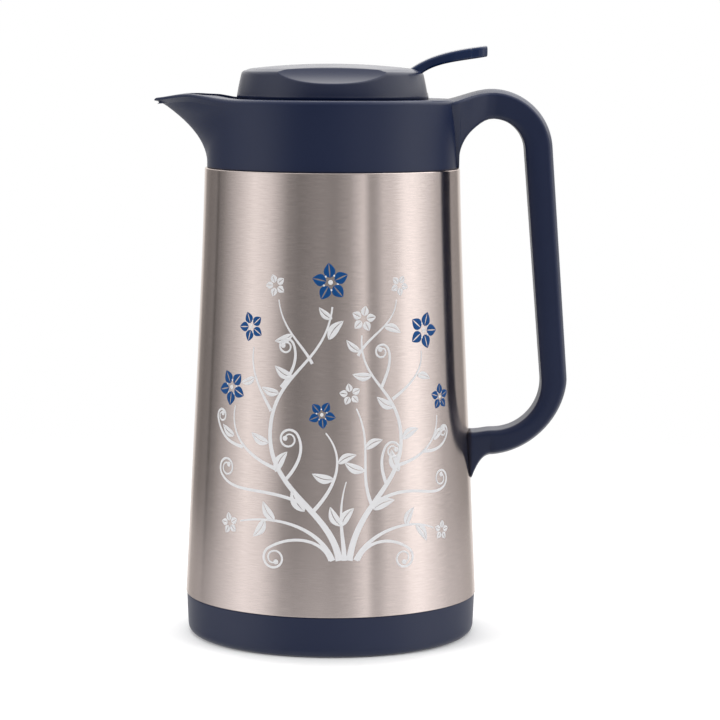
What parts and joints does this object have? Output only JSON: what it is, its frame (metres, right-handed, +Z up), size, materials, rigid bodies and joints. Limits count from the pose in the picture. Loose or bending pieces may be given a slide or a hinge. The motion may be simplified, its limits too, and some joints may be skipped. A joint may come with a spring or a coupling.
{
  "type": "vacuum jug",
  "caption": "Tall vacuum jug with a tapered brushed-steel sleeve, a dark moulded shoulder with pouring spout and full-length handle, and a screw-in stopper lid with a thumb lever.",
  "frame": {"origin": "centre of the foot on the surface that the jug stands on, on the axis of the body", "axes": "+Z up along the body's axis, +X towards the handle, the spout at -X, +Y to the left of someone who looks along +X"},
  "size_m": [0.2124, 0.15, 0.3017],
  "materials": {
    "sleeve_steel": "circumferential brushed satin, printed with a floral design on the front",
    "navy_plastic": "satin moulded navy",
    "lid_plastic": "fine matte texture, greyer navy",
    "lever_plastic": "smooth glossy blue-navy",
    "silicone": "milky silicone rubber",
    "black_rubber": "matte black rubber",
    "flask_glass": "clear glass, silvered outside",
    "silvered_glass": "silvered glass",
    "felt_pad": "pressed mineral felt",
    "plain_steel": "plain stainless steel"
  },
  "bodies": {
    "jug": {"outer_sleeve": "sleeve_steel", "shoulder": "navy_plastic", "mouth_ring": "navy_plastic", "neck_gasket": "silicone", "liner_inner": "flask_glass", "liner_outer": "silvered_glass", "spacer_pads": "felt_pad", "flask_cushion": "black_rubber", "base_ring": "navy_plastic", "base_cap": "navy_plastic", "handle_bracket": "plain_steel", "handle_screw": "plain_steel"},
    "seal": {"stopper_gasket": "silicone"},
    "lid": {"stopper_body": "lid_plastic", "lid_cover": "lid_plastic", "lid_screws": "plain_steel", "lever_pin": "plain_steel", "stem_seal": "silicone", "valve_spring": "plain_steel"},
    "lever_arm": {"lever": "lever_plastic", "thumb_pad": "lever_plastic"},
    "valve": {"valve_stem": "plain_steel", "stem_head": "lid_plastic", "valve_disc": "lid_plastic", "valve_seal": "silicone"}
  },
  "joints": [
    {"name": "lid_lift", "type": "slide", "parent": "jug", "child": "seal", "axis": [0, 0, 1], "range_m": [0, 0.1]},
    {"name": "lid_turn", "type": "hinge", "parent": "seal", "child": "lid", "pos_m": [0, 0, 0.246], "axis": [0, 0, 1], "range_deg": [0, 90]},
    {"name": "lever_press", "type": "hinge", "parent": "lid", "child": "lever_arm", "pos_m": [0.037, 0, 0.2814], "axis": [0, 1, 0], "range_deg": [0, 11]},
    {"name": "valve_lift", "type": "slide", "parent": "lid", "child": "valve", "axis": [0, 0, 1], "range_m": [0, 0.0071], "stiffness_N_per_m": 600, "springref_m": -0.004, "deforming": ["valve_spring"]}
  ],
  "couplings": [
    {"joint": "lever_press", "follows": "valve_lift", "rad_per_m": 27.027}
  ]
}
